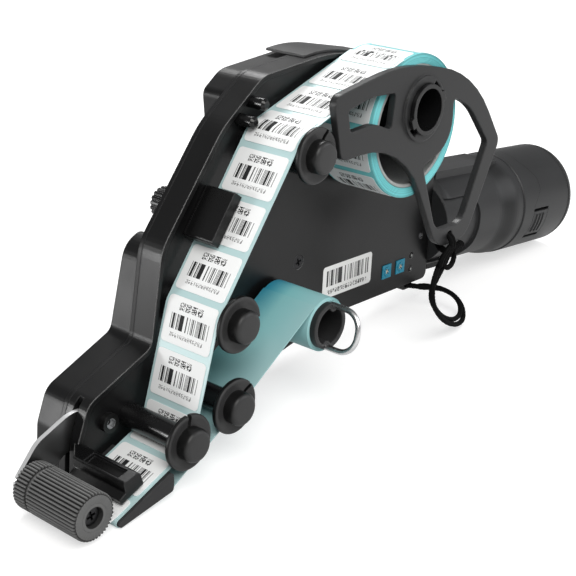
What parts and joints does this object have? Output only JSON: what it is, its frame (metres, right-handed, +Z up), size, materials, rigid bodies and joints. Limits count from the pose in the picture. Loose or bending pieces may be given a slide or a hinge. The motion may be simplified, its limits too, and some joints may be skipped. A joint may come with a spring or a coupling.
{
  "type": "handheld label applicator",
  "caption": "Handheld label applicator: a frame carries the label web over collared posts to a peel edge, a motor winds up the liner, and a sprung roller presses labels down.",
  "frame": {"origin": "centre of the footprint box on the surface that the machine stands on", "axes": "+X along the machine from the press roller to the battery cap, +Y from the web side to the back covers, +Z up as it stands on its peel edge and the end of its handle"},
  "size_m": [0.3468, 0.0814, 0.1316],
  "materials": {
    "frame_black": "moulded, fine texture",
    "cover_dark": "moulded, fine texture",
    "top_cover_grey": "moulded, satin",
    "handle_dark": "moulded, satin",
    "cap_dark": "moulded, satin",
    "trigger_black": "moulded, satin",
    "post_black": "turned, satin",
    "collar_grey": "turned, satin",
    "sensor_black": "moulded, satin",
    "peel_grey": "smooth",
    "roller_rubber": "ribbed, matte",
    "hub_grey": "satin",
    "arm_metal": "brushed sheet",
    "bolt_steel": "satin",
    "black_steel": "blackened",
    "spring_steel": "bright wire",
    "label_paper": "matte white face",
    "roll_paper": "wound edges",
    "liner_teal": "glazed release paper",
    "core_card": "pressed card",
    "retainer_grey": "moulded, satin",
    "gear_white": "moulded",
    "bearing_bronze": "plain",
    "motor_steel": "plated can",
    "board_green": "solder mask",
    "trimmer_blue": "moulded",
    "rotor_cream": "moulded",
    "indicator_clear": "diffused",
    "button_grey": "moulded",
    "sticker_white": "printed film",
    "cord_black": "braided",
    "battery_wrap": "shrink wrap"
  },
  "bodies": {
    "machine": {"frame_housing": "frame_black", "rear_cover": "cover_dark", "top_cover": "top_cover_grey", "housing_screws": "black_steel", "handle_front_shell": "handle_dark", "handle_rear_shell": "handle_dark", "trigger_spring": "spring_steel", "trigger_switch": "trigger_black", "upper_guide_post": "post_black", "middle_guide_post": "post_black", "liner_guide_post": "post_black", "nose_guide_post": "post_black", "web_studs": "post_black", "hold_down_bar": "sensor_black", "peel_plate": "peel_grey", "arm_pivot_bolt": "bolt_steel", "arm_pivot_nut": "bolt_steel", "arm_spring": "spring_steel", "roll_spindle": "post_black", "label_web": "liner_teal", "web_labels": "label_paper", "dispensed_label": "label_paper", "liner_web": "liner_teal", "shaft_bearing": "bearing_bronze", "drive_motor": "motor_steel", "circuit_board": "board_green", "trimmer_bodies": "trimmer_blue", "indicator_leds": "indicator_clear", "serial_sticker": "sticker_white", "lanyard_eyelet": "frame_black", "lanyard_cord": "cord_black"},
    "arm": {"roller_arm": "arm_metal", "roller_axle": "black_steel"},
    "roller": {"press_roller": "roller_rubber", "roller_hub": "hub_grey"},
    "label_supply": {"label_roll": "roll_paper", "roll_core": "core_card"},
    "retainer": {"roll_retainer": "retainer_grey", "lanyard_knot": "cord_black"},
    "take_up": {"take_up_shaft": "gear_white", "take_up_core": "retainer_grey", "liner_winding": "liner_teal"},
    "pinion": {"motor_pinion": "bearing_bronze"},
    "clip": {"core_clip": "spring_steel"},
    "upper_collar_body": {"upper_collar": "collar_grey"},
    "middle_collar_body": {"middle_collar": "collar_grey"},
    "liner_collar_body": {"liner_collar": "collar_grey"},
    "nose_collar_body": {"nose_collar": "collar_grey"},
    "sensor": {"sensor_block": "sensor_black"},
    "knob": {"sensor_knob": "sensor_black"},
    "battery": {"battery_pack": "battery_wrap", "battery_cap": "cap_dark"},
    "front_latch_body": {"front_latch": "cap_dark"},
    "rear_latch_body": {"rear_latch": "cap_dark"},
    "trigger_body": {"trigger": "trigger_black"},
    "set_button_body": {"set_button": "button_grey"},
    "left_rotor": {"left_trimmer_rotor": "rotor_cream"},
    "right_rotor": {"right_trimmer_rotor": "rotor_cream"}
  },
  "joints": [
    {"name": "arm_swing", "type": "hinge", "parent": "machine", "child": "arm", "pos_m": [-0.13172, 0.0047, 0.02061], "axis": [0, 1, 0], "range_deg": [0, 9], "stiffness_Nm_per_rad": 0.6, "springref_deg": -17.19},
    {"name": "roller_spin", "type": "hinge", "parent": "arm", "child": "roller", "pos_m": [-0.16475, 0.0047, 0.01026], "axis": [0, 1, 0], "continuous": true},
    {"name": "roll_spin", "type": "hinge", "parent": "machine", "child": "label_supply", "pos_m": [0.00745, 0.0047, 0.10271], "axis": [0, 1, 0], "continuous": true},
    {"name": "retainer_turn", "type": "hinge", "parent": "machine", "child": "retainer", "pos_m": [0.008, 0.0047, 0.11039], "axis": [0, 1, 0], "range_deg": [0, 25], "deforming": ["lanyard_cord"]},
    {"name": "take_up_spin", "type": "hinge", "parent": "machine", "child": "take_up", "pos_m": [-0.04593, 0.0047, 0.03678], "axis": [0, 1, 0], "continuous": true},
    {"name": "pinion_spin", "type": "hinge", "parent": "machine", "child": "pinion", "pos_m": [-0.04066, 0.0047, 0.05772], "axis": [0, 1, 0], "continuous": true},
    {"name": "clip_pull", "type": "slide", "parent": "take_up", "child": "clip", "axis": [0, -1, 0], "range_m": [0, 0.02]},
    {"name": "upper_collar_slide", "type": "slide", "parent": "machine", "child": "upper_collar_body", "axis": [0, -1, 0], "range_m": [0, 0.004]},
    {"name": "middle_collar_slide", "type": "slide", "parent": "machine", "child": "middle_collar_body", "axis": [0, -1, 0], "range_m": [0, 0.004]},
    {"name": "liner_collar_slide", "type": "slide", "parent": "machine", "child": "liner_collar_body", "axis": [0, -1, 0], "range_m": [0, 0.004]},
    {"name": "nose_collar_slide", "type": "slide", "parent": "machine", "child": "nose_collar_body", "axis": [0, -1, 0], "range_m": [0, 0.004]},
    {"name": "sensor_slide", "type": "slide", "parent": "machine", "child": "sensor", "axis": [-0.628, 0, -0.7782], "range_m": [-0.005, 0.005]},
    {"name": "knob_turn", "type": "hinge", "parent": "sensor", "child": "knob", "pos_m": [-0.08242, 0.0047, 0.0847], "axis": [0, 1, 0], "range_deg": [0, 180]},
    {"name": "battery_pull", "type": "slide", "parent": "machine", "child": "battery", "axis": [0.9904, 0, -0.1379], "range_m": [0, 0.045]},
    {"name": "front_latch_press", "type": "slide", "parent": "battery", "child": "front_latch_body", "axis": [0, 1, 0], "range_m": [0, 0.0015], "stiffness_N_per_m": 900},
    {"name": "rear_latch_press", "type": "slide", "parent": "battery", "child": "rear_latch_body", "axis": [0, -1, 0], "range_m": [0, 0.0015], "stiffness_N_per_m": 900},
    {"name": "trigger_pull", "type": "slide", "parent": "machine", "child": "trigger_body", "axis": [0.1379, 0, 0.9904], "range_m": [0, 0.0025], "stiffness_N_per_m": 700, "springref_m": -0.002, "deforming": ["trigger_spring"]},
    {"name": "set_press", "type": "slide", "parent": "machine", "child": "set_button_body", "axis": [0, 1, 0], "range_m": [0, 0.0005], "stiffness_N_per_m": 600},
    {"name": "left_rotor_turn", "type": "hinge", "parent": "machine", "child": "left_rotor", "pos_m": [0.03141, 0.0047, 0.02618], "axis": [0, 1, 0], "range_deg": [-135, 135]},
    {"name": "right_rotor_turn", "type": "hinge", "parent": "machine", "child": "right_rotor", "pos_m": [0.04138, 0.0047, 0.02547], "axis": [0, 1, 0], "range_deg": [-135, 135]}
  ],
  "couplings": [
    {"joint": "pinion_spin", "follows": "take_up_spin", "ratio": -3}
  ]
}
